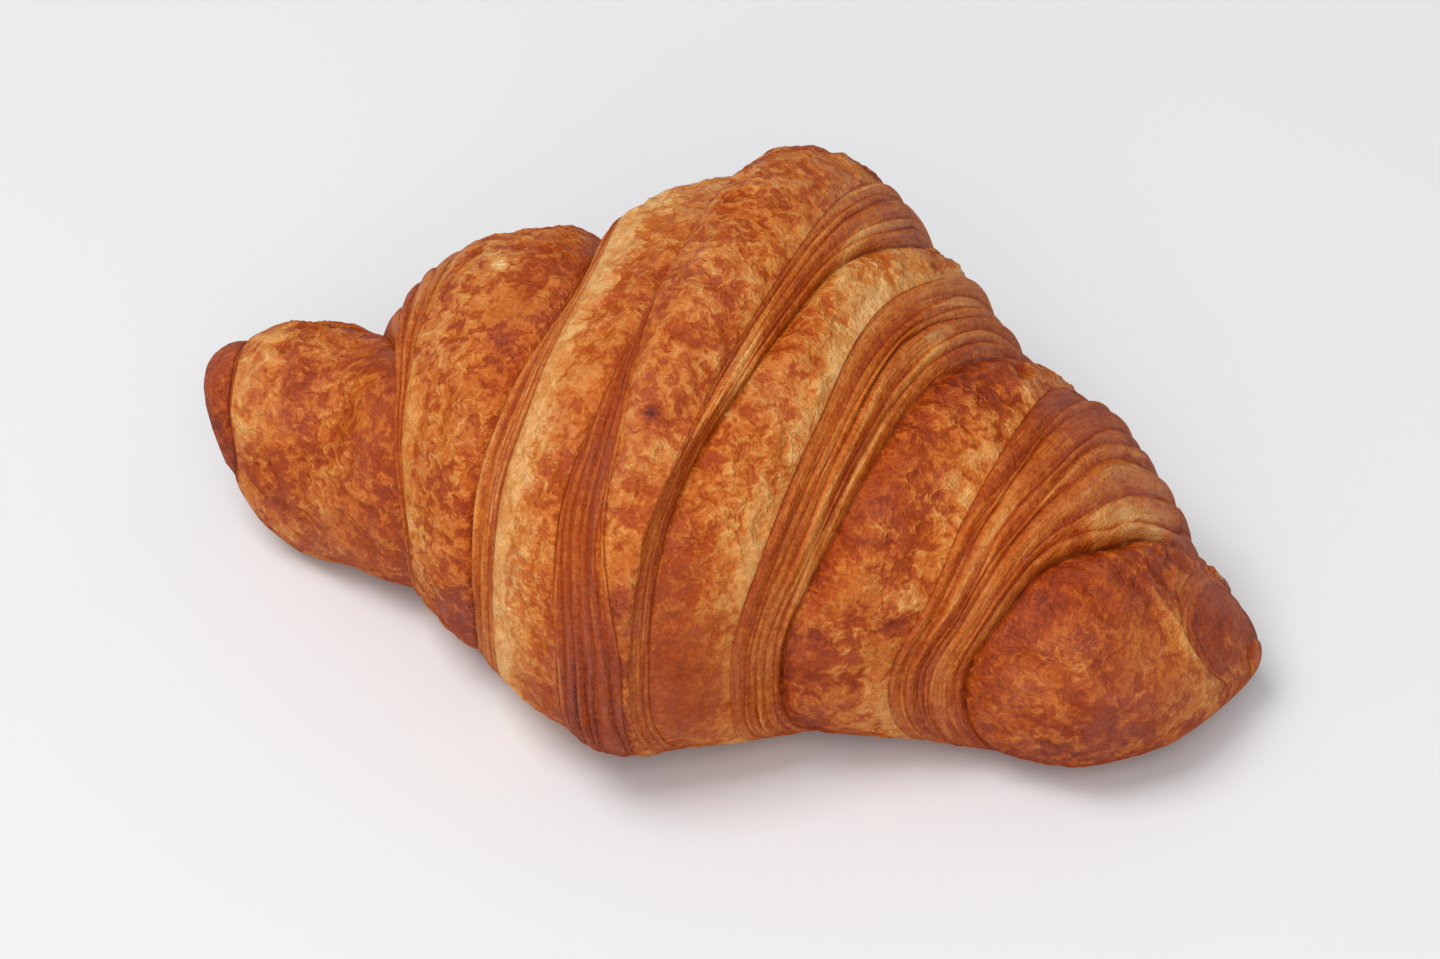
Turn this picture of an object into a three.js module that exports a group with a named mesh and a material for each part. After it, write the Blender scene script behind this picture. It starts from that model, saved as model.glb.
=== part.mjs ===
// A baked butter croissant: one straight, plump roll of layered dough with a blunt horn at each end.
// The roll is a plain loaf with folds wrapped round it. Each fold is the cut edge of the rolled
// triangle: a smooth skin ends at a lip, the layers under it show as ridges, and they run down into a
// groove from which the next skin rises. The skin is one closed grid of points: its columns follow the
// lips, ridges and grooves along the loaf, and its rows go round the loaf.
// Sizes are in millimetres. +X points to the right horn, -Y to the front, +Z up. It rests on its base.

import * as THREE from "three";

// Driving dimensions
const LENGTH = 160;
const REACH = LENGTH / 2;

// The plain loaf at places along it: half its width, its crest, its underside and its middle line
const STATIONS = [-80, -71, -60, -49, -38, -26, -13, 0, 13, 26, 40, 52, 62, 71, 80];
const HALF_WIDTH = [9, 13.5, 16.5, 24.5, 28, 35, 41.5, 48.5, 42.5, 35, 28, 25, 20.5, 16.5, 8.5];
const CREST = [31, 32.5, 31.5, 41, 48, 53, 60, 66.5, 62.5, 53.5, 45, 42, 36.5, 27, 19];
const UNDERSIDE = [20, 5, -1, -1, -1, -1, -1, -1, -1, -1, -1, -1, 0, 2, 0];
const MIDLINE = [-4.5, -3.5, -1.5, 4, 3, 0.5, -0.5, 0.5, 3.5, 4, 3, 2.5, -0.5, 0, 8];
const LEVEL_SHARE = 0.42; // height of the widest level between underside and crest
const HORN_BLUNTNESS = 11; // the higher, the blunter the ends
const TOP_FULLNESS = 2.2; // exponent of the dome: 2 is an ellipse, more is squarer
const BASE_FULLNESS = 3;

// Where a line round the loaf crosses the back foot, back flank, crest, front flank and front foot
const CROSSINGS = [-90, -45, 0, 45, 90].map(THREE.MathUtils.degToRad);

// The folds from left to right, each read at those five crossings: where its groove and its skin's edge
// lie along the loaf, how deep the groove is and how high the edge stands over the plain loaf. step is
// how far the skin's cut edge drops to the first layer, and slump is how late the layers fall from there
// to the groove. layers are their relative widths, and ridge is how high they stand.
const FOLDS = [
  {
    groove: [-75.2, -75.6, -75.2, -73.8, -72],
    edge: [-74.3, -74.8, -74.2, -72.8, -71],
    depth: [0.2, 0.2, 0.2, 0.3, 0.3],
    lip: [0.2, 0.2, 0.2, 0.3, 0.3],
    step: 0.3,
    slump: 2.4,
    layers: [1],
    ridge: 0.4,
  },
  {
    groove: [-60, -59.5, -54.5, -44.5, -38.8],
    edge: [-51, -49, -45.5, -41, -36.5],
    depth: [1.5, 2, 3.2, 1.8, 2.2],
    lip: [1, 0.8, 0.6, 0.8, 0.8],
    step: 0.4,
    slump: 5,
    layers: [1.4, 1, 1.6, 1],
    ridge: 0.9,
  },
  {
    groove: [-32, -28, -25.3, -26.8, -26],
    edge: [-25, -23, -20.5, -19.5, -19],
    depth: [2.4, 3.4, 3.8, 2.6, 2.4],
    lip: [0.3, 1.4, 0.8, 0.3, 0.2],
    step: 0.4,
    slump: 2.4,
    layers: [1.3, 0.8, 1, 1.7, 1],
    ridge: 0.9,
  },
  {
    groove: [-10, -7, -8.5, -10.5, -7],
    edge: [-4, -4.5, -7, -2, 3.4],
    depth: [1.4, 1.6, 1.6, 0.9, 0.4],
    lip: [0.6, 0.8, 1.1, 0.4, 0.1],
    step: 0.3,
    slump: 2.4,
    layers: [0.8, 1.2, 0.7, 1.3, 0.9, 1],
    ridge: 0.8,
  },
  {
    groove: [21, 19.5, 13.5, 7.5, 6.5],
    edge: [12, 10, 8, 4.6, 4.2],
    depth: [1.4, 1.4, 1.8, 1.6, 0.3],
    lip: [0.6, 0.9, 0.6, 0.3, 0.1],
    step: 0.4,
    slump: 2.4,
    layers: [1.2, 0.7, 1.5, 0.8, 1.6],
    ridge: 1,
  },
  {
    groove: [41, 38, 31, 26.5, 22],
    edge: [27, 25, 21, 18, 15.5],
    depth: [1.4, 1.8, 1.9, 2.2, 1.8],
    lip: [0.8, 1.2, 0.6, 0.6, 0.2],
    step: 0.4,
    slump: 2.4,
    layers: [2.2, 0.8, 1, 1.6, 0.9, 1.8],
    ridge: 1,
  },
  {
    groove: [71, 71, 64, 52.3, 46],
    edge: [47, 45, 42.5, 39.5, 36],
    depth: [2.6, 2.8, 3.2, 3.2, 2.4],
    lip: [0.6, 0.3, 0.6, 0.6, 0.2],
    step: 0.4,
    slump: 4,
    layers: [1.6, 0.8, 1.8, 0.8, 1, 2, 1.1, 1.6],
    ridge: 1,
  },
  {
    groove: [79.6, 79.4, 79.2, 79.4, 79.6],
    edge: [74, 72.5, 70, 74.5, 77.5],
    depth: [0.3, 0.3, 0.3, 0.3, 0.3],
    lip: [0.2, 0.2, 0.3, 0.3, 0.2],
    step: 0.3,
    slump: 2.4,
    layers: [1, 1.6, 2.4],
    ridge: 0.2,
  },
];

// Relief
const CROWN = 1; // how far a skin bulges over the plain loaf
const CROWN_WIDTH = 10; // skins narrower than this bulge less
const SHOULDER = 0.3; // share of a skin's width in which it rises from its groove
const STEP_SHARE = 0.04; // width of a cut edge, as a share of its band of layers
const RIDGE_HEIGHT = 0.7;
const RIDGE_SKEW = 0.66; // below 1 a ridge peaks nearer the lip
const RIDGE_PEAK = 0.5 ** (1 / RIDGE_SKEW);
const LAYER_WIDTH = 1.3; // ridges narrower than this are lower
const UNDERSIDE_RELIEF = 0.2; // share of the relief left under the loaf

// Unevenness: height in mm, and its cells along the loaf (mm) and round it (count)
const LUMPS = { height: 0.8, cell: 13, round: 9, seed: 1 };
const WANDER = { height: 1, cell: 19, round: 12, seed: 2 };
const LAYER_LIVELINESS = { height: 0.6, cell: 1, round: 14 };

// Points of the grid
const ROWS = 40;
const UNDERSIDE_ROW_SPACING = 1.7; // rows under the loaf are this much further apart
const TIP_COLUMNS = 4;
const SKIN_COLUMNS = 7;
const ARC_STEPS = 720;
const NUDGE = 1e-3; // for slopes

const { clamp, lerp, smoothstep } = THREE.MathUtils;
const TURN = 2 * Math.PI;

// A value given at rising places, read between them by a smooth curve that never overshoots.
function smoothTable(places, values, at) {
  const last = places.length - 1;
  const x = clamp(at, places[0], places[last]);
  const slopes = values.map((_, i) => {
    if (i === 0 || i === last) return 0;
    const before = (values[i] - values[i - 1]) / (places[i] - places[i - 1]);
    const after = (values[i + 1] - values[i]) / (places[i + 1] - places[i]);
    return before * after <= 0 ? 0 : (2 * before * after) / (before + after);
  });
  slopes[0] = (values[1] - values[0]) / (places[1] - places[0]);
  slopes[last] =
    (values[last] - values[last - 1]) / (places[last] - places[last - 1]);
  let i = 0;
  while (i < last - 1 && x > places[i + 1]) i += 1;
  const step = places[i + 1] - places[i];
  const t = (x - places[i]) / step;
  const u = 1 - t;
  return (
    values[i] * u * u * (1 + 2 * t) +
    values[i + 1] * t * t * (3 - 2 * t) +
    step * u * t * (slopes[i] * u - slopes[i + 1] * t)
  );
}

// A line's place along the loaf at an angle round it. Under the loaf it runs straight back across.
function placeOf(line, angle) {
  const first = line[0];
  const foot = line[line.length - 1];
  const under = (first + foot) / 2;
  const places = [-Math.PI, ...CROSSINGS, Math.PI];
  return smoothTable(places, [under, ...line, under], angle);
}

function hash(i, j, seed) {
  const s = Math.sin(i * 127.1 + j * 311.7 + seed * 74.7) * 43758.5453;
  return s - Math.floor(s);
}

// Smooth unevenness from -height to height, which closes on itself round the loaf.
function unevenness({ height, cell, round, seed }, x, angle) {
  const u = x / cell;
  const v = ((angle / TURN + 1) % 1) * round;
  const i = Math.floor(u);
  const j = Math.floor(v);
  const s = smoothstep(u - i, 0, 1);
  const t = smoothstep(v - j, 0, 1);
  const near = lerp(hash(i, j, seed), hash(i + 1, j, seed), s);
  const far = lerp(
    hash(i, (j + 1) % round, seed),
    hash(i + 1, (j + 1) % round, seed),
    s,
  );
  return height * (2 * lerp(near, far, t) - 1);
}

function signedPower(value, exponent) {
  return Math.sign(value) * Math.abs(value) ** exponent;
}

// The plain loaf's surface. Angle 0 is the crest, and positive angles are at the front.
function loafPoint(x, angle) {
  const read = (values) => smoothTable(STATIONS, values, x);
  const out = Math.min(Math.abs(x) / REACH, 1);
  const cap = Math.sqrt(1 - out ** HORN_BLUNTNESS);
  const crest = read(CREST);
  const underside = read(UNDERSIDE);
  const level = lerp(underside, crest, LEVEL_SHARE);
  const upper = Math.cos(angle) >= 0;
  const exponent = 2 / (upper ? TOP_FULLNESS : BASE_FULLNESS);
  const reachUp = upper ? crest - level : level - underside;
  return new THREE.Vector3(
    x,
    read(MIDLINE) - read(HALF_WIDTH) * cap * signedPower(Math.sin(angle), exponent),
    level + reachUp * cap * signedPower(Math.cos(angle), exponent),
  );
}

function loafNormal(x, angle) {
  const inside = clamp(x, -REACH + NUDGE, REACH - NUDGE);
  const along = loafPoint(inside + NUDGE, angle).sub(
    loafPoint(inside - NUDGE, angle),
  );
  const round = loafPoint(x, angle + NUDGE).sub(loafPoint(x, angle - NUDGE));
  const normal = round.cross(along);
  if (normal.lengthSq() === 0) return new THREE.Vector3(Math.sign(x), 0, 0);
  return normal.normalize();
}

// How much of the relief is left at an angle: all of it at the front, top and back, little underneath.
function strength(angle) {
  const under = smoothstep(Math.abs(angle), Math.PI / 2, (3 * Math.PI) / 4);
  return lerp(1, UNDERSIDE_RELIEF, under);
}

const depthOf = (fold, angle) => -placeOf(fold.depth, angle) * strength(angle);
const lipOf = (fold, angle) => placeOf(fold.lip, angle) * strength(angle);

// Height of a skin at share t of its width, with its heights at both sides, each a groove or a lip.
function skinHeight(t, from, to, width, angle) {
  const rise = (share) => Math.sqrt(1 - (1 - Math.min(share, 1)) ** 2);
  const start = from.groove ? rise(t / SHOULDER) : 1;
  const finish = to.groove ? rise((1 - t) / SHOULDER) : 1;
  const room = clamp(width / CROWN_WIDTH, 0, 1);
  const crown = CROWN * room * strength(angle) * Math.sin(Math.PI * t) ** 0.7;
  const flat = lerp(from.lipHeight(angle), to.lipHeight(angle), t);
  return (
    start * finish * (flat + crown) +
    (1 - start) * from.height(angle) +
    (1 - finish) * to.height(angle)
  );
}

// Where a fold's layers end, as shares of the way from its lip to its groove.
function layerEnds({ layers }) {
  const total = layers.reduce((sum, width) => sum + width, 0);
  const ends = [0];
  layers.forEach((width, k) => ends.push(ends[k] + width / total));
  return ends;
}

// Height among a fold's layers at share t of the way from its lip to its groove.
function layerHeight(t, fold, width, angle) {
  const drop = fold.step * clamp(t / STEP_SHARE, 0, 1);
  const top = lipOf(fold, angle) - drop * strength(angle);
  const fall = lerp(top, depthOf(fold, angle), t ** fold.slump);
  const ends = layerEnds(fold);
  const index = ends.filter((end) => end <= t).length - 1;
  if (index === fold.layers.length) return fall;
  const layerShare = ends[index + 1] - ends[index];
  const ridge = Math.sin(Math.PI * ((t - ends[index]) / layerShare) ** RIDGE_SKEW);
  const room = clamp((width * layerShare) / LAYER_WIDTH, 0, 1.5);
  const lively = { ...LAYER_LIVELINESS, seed: fold.layers.length };
  const liveliness = 0.8 + unevenness(lively, index, angle);
  return fall + RIDGE_HEIGHT * fold.ridge * room * strength(angle) * liveliness * ridge;
}

// The zones of the crust from left to right: skins and bands of layers in turn, with their columns.
function zonesAlong() {
  const tip = (x) => ({
    line: CROSSINGS.map(() => x),
    height: () => 0,
    lipHeight: () => 0,
    atTip: true,
  });
  const groove = (fold) => ({
    line: fold.groove,
    height: (angle) => depthOf(fold, angle),
    lipHeight: () => 0,
    groove: true,
    fold,
  });
  const lip = (fold) => ({
    line: fold.edge,
    height: (angle) => lipOf(fold, angle),
    lipHeight: (angle) => lipOf(fold, angle),
    fold,
  });
  const crest = (CROSSINGS.length - 1) / 2;
  const pairs = FOLDS.flatMap((fold) => {
    const grooveFirst = fold.groove[crest] < fold.edge[crest];
    return grooveFirst ? [groove(fold), lip(fold)] : [lip(fold), groove(fold)];
  });
  const lines = [tip(-REACH), ...pairs, tip(REACH)];
  return lines.slice(1).map((to, i) => {
    const from = lines[i];
    if (!from.fold || from.fold !== to.fold) {
      const count = from.atTip || to.atTip ? TIP_COLUMNS : SKIN_COLUMNS;
      const shares = Array.from(
        { length: count },
        (_, k) => (1 - Math.cos((Math.PI * k) / count)) / 2,
      );
      return { from, to, shares };
    }
    const ends = layerEnds(from.fold);
    const fromLip = [0, STEP_SHARE];
    for (let k = 0; k < from.fold.layers.length; k += 1)
      fromLip.push(lerp(ends[k], ends[k + 1], RIDGE_PEAK), ends[k + 1]);
    const shares = from.groove
      ? fromLip.slice(1).map((share) => 1 - share).reverse()
      : fromLip.slice(0, -1);
    return { from, to, fold: from.fold, shares };
  });
}

// Angles of the rows: even steps along the middle section's outline, wider under the loaf.
function rowAngles() {
  const lengths = [0];
  for (let k = 1; k <= ARC_STEPS; k += 1) {
    const a = -Math.PI + (TURN * (k - 1)) / ARC_STEPS;
    const b = -Math.PI + (TURN * k) / ARC_STEPS;
    const under = Math.cos((a + b) / 2) < 0;
    const step = loafPoint(0, a).distanceTo(loafPoint(0, b));
    lengths.push(lengths[k - 1] + step / (under ? UNDERSIDE_ROW_SPACING : 1));
  }
  const total = lengths[ARC_STEPS];
  return Array.from({ length: ROWS }, (_, row) => {
    const goal = (total * row) / ROWS;
    const k = lengths.findIndex((length) => length > goal);
    const part = (goal - lengths[k - 1]) / (lengths[k] - lengths[k - 1]);
    return -Math.PI + (TURN * (k - 1 + part)) / ARC_STEPS;
  });
}

// One point of the crust: a place in a zone, at an angle round the loaf.
function crustPoint(zone, share, angle) {
  const left = placeOf(zone.from.line, angle);
  const right = placeOf(zone.to.line, angle);
  const middle = lerp(left, right, share);
  const horn = 1 - Math.abs(middle) / REACH;
  const x = middle + unevenness(WANDER, middle, angle) * clamp(6 * horn, 0, 1);
  const width = right - left;
  const fromLip = zone.from.groove ? 1 - share : share;
  const relief = zone.fold
    ? layerHeight(fromLip, zone.fold, width, angle)
    : skinHeight(share, zone.from, zone.to, width, angle);
  const lumps = unevenness(LUMPS, x, angle) * clamp(6 * horn, 0, 1);
  const point = loafPoint(x, angle).addScaledVector(
    loafNormal(x, angle),
    relief + lumps,
  );
  point.z = Math.max(point.z, 0);
  return point;
}

function crustGeometry() {
  const angles = rowAngles();
  const columns = zonesAlong()
    .flatMap((zone) => zone.shares.map((share) => ({ zone, share })))
    .slice(1);
  const points = [loafPoint(-REACH, 0)];
  columns.forEach(({ zone, share }) =>
    angles.forEach((angle) => points.push(crustPoint(zone, share, angle))),
  );
  points.push(loafPoint(REACH, 0));
  const faces = [];
  const at = (column, row) => 1 + column * ROWS + (row % ROWS);
  const lastColumn = columns.length - 1;
  for (let row = 0; row < ROWS; row += 1) {
    faces.push(0, at(0, row + 1), at(0, row));
    faces.push(points.length - 1, at(lastColumn, row), at(lastColumn, row + 1));
    for (let column = 0; column < lastColumn; column += 1) {
      const a = at(column, row);
      const b = at(column + 1, row);
      const c = at(column + 1, row + 1);
      const d = at(column, row + 1);
      faces.push(a, d, b, b, d, c);
    }
  }
  const geometry = new THREE.BufferGeometry().setFromPoints(points);
  geometry.setIndex(faces);
  geometry.computeBoundingBox();
  const middle = geometry.boundingBox.getCenter(new THREE.Vector3());
  geometry.translate(-middle.x, -middle.y, -geometry.boundingBox.min.z);
  geometry.computeVertexNormals();
  return geometry;
}

function crustMaterial() {
  return new THREE.MeshStandardMaterial({
    color: new THREE.Color(0.7, 0.38, 0.18),
    roughness: 0.45,
    metalness: 0,
  });
}

function croissant() {
  const group = new THREE.Group();
  const crust = new THREE.Mesh(crustGeometry(), crustMaterial());
  crust.name = "croissant";
  group.add(crust);
  return group;
}

export default croissant();
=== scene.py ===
"""A baked croissant on a pale studio floor.

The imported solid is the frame. The shown crust has the same form on a finer grid, with the wrinkles,
flaky layers and baked colours that the solid leaves out. Sizes of the crust are in millimetres, as in
the part's source, and turn to metres when the mesh is made.
"""

import itertools
import math

import bpy
import numpy as np
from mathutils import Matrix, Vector


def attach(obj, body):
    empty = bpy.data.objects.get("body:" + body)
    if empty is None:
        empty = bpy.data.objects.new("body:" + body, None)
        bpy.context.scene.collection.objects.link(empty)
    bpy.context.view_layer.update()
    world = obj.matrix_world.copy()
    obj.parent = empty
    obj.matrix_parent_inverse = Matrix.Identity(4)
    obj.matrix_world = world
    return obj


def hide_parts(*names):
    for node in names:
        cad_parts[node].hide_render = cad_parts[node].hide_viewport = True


MM = 0.001

# Driving dimensions, as in the part's source
LENGTH = 160
REACH = LENGTH / 2

# The plain loaf at places along it: half its width, its crest, its underside and its middle line
STATIONS = (-80, -71, -60, -49, -38, -26, -13, 0, 13, 26, 40, 52, 62, 71, 80)
HALF_WIDTH = (9, 13.5, 16.5, 24.5, 28, 35, 41.5, 48.5, 42.5, 35, 28, 25, 20.5, 16.5, 8.5)
CREST = (31, 32.5, 31.5, 41, 48, 53, 60, 66.5, 62.5, 53.5, 45, 42, 36.5, 27, 19)
UNDERSIDE = (20, 5, -1, -1, -1, -1, -1, -1, -1, -1, -1, -1, 0, 2, 0)
MIDLINE = (-4.5, -3.5, -1.5, 4, 3, 0.5, -0.5, 0.5, 3.5, 4, 3, 2.5, -0.5, 0, 8)
LEVEL_SHARE = 0.42  # height of the widest level between underside and crest
HORN_BLUNTNESS = 11  # the higher, the blunter the ends
TOP_FULLNESS = 2.2  # exponent of the dome: 2 is an ellipse, more is squarer
BASE_FULLNESS = 3

# Where a line round the loaf crosses the back foot, back flank, crest, front flank and front foot
CROSSINGS = np.radians((-90, -45, 0, 45, 90))

# The folds from left to right, each read at those five crossings: where its groove and its skin's edge
# lie along the loaf, how deep the groove is and how high the edge stands over the plain loaf. step is
# how far the skin's cut edge drops to the first layer, and slump is how late the layers fall from there
# to the groove. layers are their relative widths, and ridge is how high they stand. tone is how dark
# they are baked, from 0 for cream to 1 for dark brown.
FOLDS = (
    {
        "groove": (-75.2, -75.6, -75.2, -73.8, -72),
        "edge": (-74.3, -74.8, -74.2, -72.8, -71),
        "depth": (0.2, 0.2, 0.2, 0.3, 0.3),
        "lip": (0.2, 0.2, 0.2, 0.3, 0.3),
        "step": 0.3,
        "slump": 2.4,
        "layers": (1,),
        "ridge": 0.4,
        "tone": 0.74,
    },
    {
        "groove": (-60, -59.5, -54.5, -44.5, -38.8),
        "edge": (-51, -49, -45.5, -41, -36.5),
        "depth": (1.5, 2, 3.2, 1.8, 2.2),
        "lip": (1, 0.8, 0.6, 0.8, 0.8),
        "step": 0.4,
        "slump": 5,
        "layers": (1.4, 1, 1.6, 1),
        "ridge": 0.9,
        "tone": 0.58,
    },
    {
        "groove": (-32, -28, -25.3, -26.8, -26),
        "edge": (-25, -23, -20.5, -19.5, -19),
        "depth": (2.4, 3.4, 3.8, 2.6, 2.4),
        "lip": (0.3, 1.4, 0.8, 0.3, 0.2),
        "step": 0.4,
        "slump": 2.4,
        "layers": (1.3, 0.8, 1, 1.7, 1),
        "ridge": 0.9,
        "tone": 0.54,
    },
    {
        "groove": (-10, -7, -8.5, -10.5, -7),
        "edge": (-4, -4.5, -7, -2, 3.4),
        "depth": (1.4, 1.6, 1.6, 0.9, 0.4),
        "lip": (0.6, 0.8, 1.1, 0.4, 0.1),
        "step": 0.3,
        "slump": 2.4,
        "layers": (0.8, 1.2, 0.7, 1.3, 0.9, 1),
        "ridge": 0.8,
        "tone": 0.62,
    },
    {
        "groove": (21, 19.5, 13.5, 7.5, 6.5),
        "edge": (12, 10, 8, 4.6, 4.2),
        "depth": (1.4, 1.4, 1.8, 1.6, 0.3),
        "lip": (0.6, 0.9, 0.6, 0.3, 0.1),
        "step": 0.4,
        "slump": 2.4,
        "layers": (1.2, 0.7, 1.5, 0.8, 1.6),
        "ridge": 1,
        "tone": 0.56,
    },
    {
        "groove": (41, 38, 31, 26.5, 22),
        "edge": (27, 25, 21, 18, 15.5),
        "depth": (1.4, 1.8, 1.9, 2.2, 1.8),
        "lip": (0.8, 1.2, 0.6, 0.6, 0.2),
        "step": 0.4,
        "slump": 2.4,
        "layers": (2.2, 0.8, 1, 1.6, 0.9, 1.8),
        "ridge": 1,
        "tone": 0.55,
    },
    {
        "groove": (71, 71, 64, 52.3, 46),
        "edge": (47, 45, 42.5, 39.5, 36),
        "depth": (2.6, 2.8, 3.2, 3.2, 2.4),
        "lip": (0.6, 0.3, 0.6, 0.6, 0.2),
        "step": 0.4,
        "slump": 4,
        "layers": (1.6, 0.8, 1.8, 0.8, 1, 2, 1.1, 1.6),
        "ridge": 1,
        "tone": 0.6,
    },
    {
        "groove": (79.6, 79.4, 79.2, 79.4, 79.6),
        "edge": (74, 72.5, 70, 74.5, 77.5),
        "depth": (0.3, 0.3, 0.3, 0.3, 0.3),
        "lip": (0.2, 0.2, 0.3, 0.3, 0.2),
        "step": 0.3,
        "slump": 2.4,
        "layers": (1, 1.6, 2.4),
        "ridge": 0.2,
        "tone": 0.65,
    },
)

# The skins between the folds, from the left tip to the right tip: how dark each is baked, and how pale
# its torn film is beside its left and right sides. Below zero that side, which rises from a groove, gets
# painted shade instead.
SKINS = (
    {"tone": 0.78, "left": 0, "right": 0},
    {"tone": 0.62, "left": 0.5, "right": 0.1},
    {"tone": 0.55, "left": 0.5, "right": -0.5},
    {"tone": 0.45, "left": 0.95, "right": -0.7},
    {"tone": 0.53, "left": 0.1, "right": 0},
    {"tone": 0.49, "left": -0.3, "right": 0.7},
    {"tone": 0.59, "left": -1, "right": 0.5},
    {"tone": 0.67, "left": -0.4, "right": 0.4},
    {"tone": 0.62, "left": 0, "right": 0},
)
PALE_BAND = 0.68  # width of a side's pale film, and of its painted shade, as a share of the skin
PAINTED_GROOVE_SHADE = 0.16  # painted shade beside a groove: how much darker a side of -1 is, as a tone

# Marks: place along the loaf (mm) and round it (degrees), reach in both, and how much darker they are
MARKS = {
    "cream band by the left tip": (-70.5, 30, 2.6, 60, -0.14),
    "blister": (-35, -2, 1.1, 2.2, -0.55),
    "cream streak among the second fold's layers": (-25.3, 62, 1.1, 26, -0.42),
    "upper cream streak there": (-24.6, 22, 0.8, 12, -0.26),
    "pale crest of the skin beside it": (-15, -25, 5, 16, -0.14),
    "pale foot of that skin": (-13.6, 82, 3, 14, -0.12),
    "light crease on its right": (-10, -35, 1, 9, -0.2),
    "dark fold at the middle's tip": (-2, 98, 4, 20, 0.16),
    "burnt spot": (0.5, 34, 1.2, 1.6, 0.4),
    "dark notch": (1.9, 71, 1.2, 4, 0.26),
    "red crease behind the crest": (6.5, -49, 3, 4, 0.26),
    "cream streak on the right of the middle": (9, 22, 0.9, 9, -0.28),
    "cream streak behind it": (14, -14, 1, 10, -0.28),
    "pale band over the crest": (18, -8, 4, 20, -0.16),
    "cream streak among the fifth fold's layers": (23.5, 52, 1, 24, -0.26),
    "cream streak over its crest": (29, -6, 1.4, 9, -0.22),
    "cream streak among the sixth fold's layers": (45.5, 34, 0.9, 20, -0.18),
    "cream flap": (61.8, -3, 2.4, 8, -0.38),
    "cream flap's far side": (65, -15, 2.4, 8, -0.36),
    "cream flap's near side": (58.4, 9, 2, 7, -0.32),
    "red patch on the right horn": (61, 22, 3, 8, 0.12),
    "golden patch in front of it": (69.5, 42, 4, 18, -0.13),
}

# The smooth, deep orange foot beside the middle: place along the loaf and round it, and reach in both
SMOOTH_FOOT = (9.5, 90, 5.5, 24)
SMOOTH_FOOT_DARKNESS = 0.16

# Thin strands of dough that cross the skins and layers: their angles round the loaf (degrees), their
# places along it there, the loaf's radius there, half their width, their height, and how much darker
# they are
STRANDS = {
    "curl beside the middle": {
        "angles": (22, 29, 42, 58, 72),
        "places": (10.4, 7.9, 4.9, 3.3, 3),
        "radius": 42,
        "half_width": 1,
        "height": 1.1,
        "tone": -0.03,
    },
    "edge of the right tip's skin": {
        "angles": (14, 18.6, 22, 53, 85),
        "places": (58, 66, 70.6, 74.7, 75.8),
        "radius": 20,
        "half_width": 0.6,
        "height": 0.35,
        "tone": -0.16,
    },
}
STRAND_FADE = 6  # degrees over which a strand's ends fade

# Relief
CROWN = 1.0  # how far a skin bulges over the plain loaf
CROWN_WIDTH = 10  # skins narrower than this bulge less
CROWN_ROUNDNESS = 0.7  # the lower, the flatter the crown's middle and the steeper its sides
SHOULDER = 0.3  # share of a skin's width in which it rises from its groove
STEP_SHARE = 0.04  # width of a cut edge, as a share of its band of layers
RIDGE_HEIGHT = 0.7
RIDGE_SKEW = 0.66  # below 1 a ridge peaks nearer the lip
LAYER_WIDTH = 1.3  # ridges narrower than this are lower
WIDE_LAYER = 1.5  # how many times as high the ridge of a wide layer is at most
USUAL_LIVELINESS = 0.8  # a ridge's usual height, as a share of the full one
HORN_STEEPNESS = 6  # the higher, the nearer to its tips the loaf is still uneven
UNDERSIDE_RELIEF = 0.2  # share of the relief left under the loaf

# Unevenness: height in mm, and its cells along the loaf (mm) and round it (count)
LUMPS = {"height": 0.8, "cell": 13, "round": 9, "seed": 1}
WANDER = {"height": 1, "cell": 19, "round": 12, "seed": 2}
LAYER_LIVELINESS = {"height": 0.6, "cell": 1, "round": 14}

# Finer relief, which only this mesh has: height and cell of the skin's wrinkles in mm
WRINKLES = (
    {"height": 0.36, "cell": 4.2, "seed": 21},
    {"height": 0.26, "cell": 2.3, "seed": 22},
)
WRINKLE_WARP = {"height": 1.5, "cell": 3.6, "seeds": (23, 24, 25)}
WRINKLE_MARGIN = 1 / 8  # share of a skin's width beside each side over which its wrinkles fade
WRINKLE_REST = 0.2  # share of the wrinkles left at its very sides
LAYER_PINCH = {"height": 0.42, "cell": 1, "round": 13, "seed": 31}  # where layers swell and narrow
LAYER_TREMOR = {"height": 0.1, "cell": 1, "round": 47, "seed": 32}
LAYER_TINT = {"height": 0.1, "cell": 1, "round": 11}  # how much a layer's tone changes round the loaf
BAND_STRIDE = 10  # more than a band's layers, so that each layer has a number of its own
PAINTED_CREASE_SHADE = 0.2  # painted shade: how much darker the creases between layers are, as a tone
CREASE_SHARPNESS = 3  # the higher, the narrower the painted shade in the creases
PAINTED_RIDGE_LIGHT = 0.2  # share of that painted shade by which the ridges are lighter, as painted light
CREASE_FADE = 0.6  # how much of both is lost towards the foot
CREASE_FADE_DEGREES = (40, 75)

# Points of the grid
ROWS = 224
UNDERSIDE_ROW_SPACING = 3  # rows under the loaf are this many times as far apart
TIP_COLUMNS = 8
SKIN_COLUMNS = 26
LAYER_COLUMNS = 6
COLUMN_CROWDING = 1.2  # above 1 a layer's columns are closer near its start
ARC_STEPS = 1440
NUDGE = 1e-3  # for slopes
TINY = 1e-12  # keeps a normal of no length from being divided by 0
HASH_STEPS = (127.1, 311.7, 74.7)
HASH_SCALE = 43758.5453
NOISE_SEED_STEP = 19.3

# Colours from pale to dark, as sRGB, each with the tone that it has
CREAM = (243, 194, 128)
TAN = (219, 148, 76)
GOLD = (199, 106, 33)
BROWN = (170, 70, 11)
DEEP = (140, 48, 7)
DARK = (80, 26, 12)
TONES = ((0, CREAM), (0.25, TAN), (0.45, GOLD), (0.62, BROWN), (0.82, DEEP), (1, DARK))
ROSY = (160, 76, 48)  # a faint tint in places

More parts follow.
